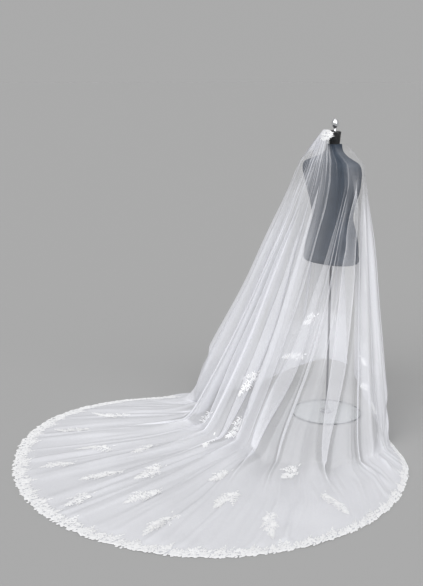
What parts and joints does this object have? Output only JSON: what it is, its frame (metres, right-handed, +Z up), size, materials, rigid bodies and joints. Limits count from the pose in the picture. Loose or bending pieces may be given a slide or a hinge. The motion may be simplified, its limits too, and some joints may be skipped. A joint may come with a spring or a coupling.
{
  "type": "bridal veil on dress form",
  "caption": "Long tulle veil with a lace edging and lace sprays, gathered on a comb at the neck of a limbless dress form and spread in a round train on the floor.",
  "frame": {"origin": "middle of the round base plate, on its underside, at floor level", "axes": "+Z up; the dress form faces -Y, so the train lies along +Y; +X is the form's left"},
  "size_m": [1.9678, 2.0584, 1.61],
  "materials": {
    "tulle": "sheer fine net",
    "lace": "matte corded lace",
    "form_cloth": "charcoal knitted cover",
    "black_cap": "satin black",
    "chrome": "polished",
    "comb_metal": "dark satin",
    "glass": "clear, polished edge"
  },
  "bodies": {
    "root": {"base_plate": "glass", "base_boss": "chrome", "pole": "chrome", "torso": "form_cloth", "neck_block": "black_cap", "finial": "chrome", "comb": "comb_metal", "comb_lace": "lace", "veil": "tulle", "lace_edging": "lace", "lace_spray_01": "lace", "lace_spray_02": "lace", "lace_spray_03": "lace", "lace_spray_04": "lace", "lace_spray_05": "lace", "lace_spray_06": "lace", "lace_spray_07": "lace", "lace_spray_08": "lace", "lace_spray_09": "lace", "lace_spray_10": "lace", "lace_spray_11": "lace", "lace_spray_12": "lace", "lace_spray_13": "lace", "lace_spray_14": "lace", "lace_spray_15": "lace", "lace_spray_16": "lace", "lace_spray_17": "lace", "lace_spray_18": "lace", "lace_spray_19": "lace", "lace_spray_20": "lace", "lace_spray_21": "lace", "lace_spray_22": "lace", "lace_spray_23": "lace", "lace_spray_24": "lace", "lace_spray_25": "lace", "lace_spray_26": "lace"}
  },
  "joints": []
}
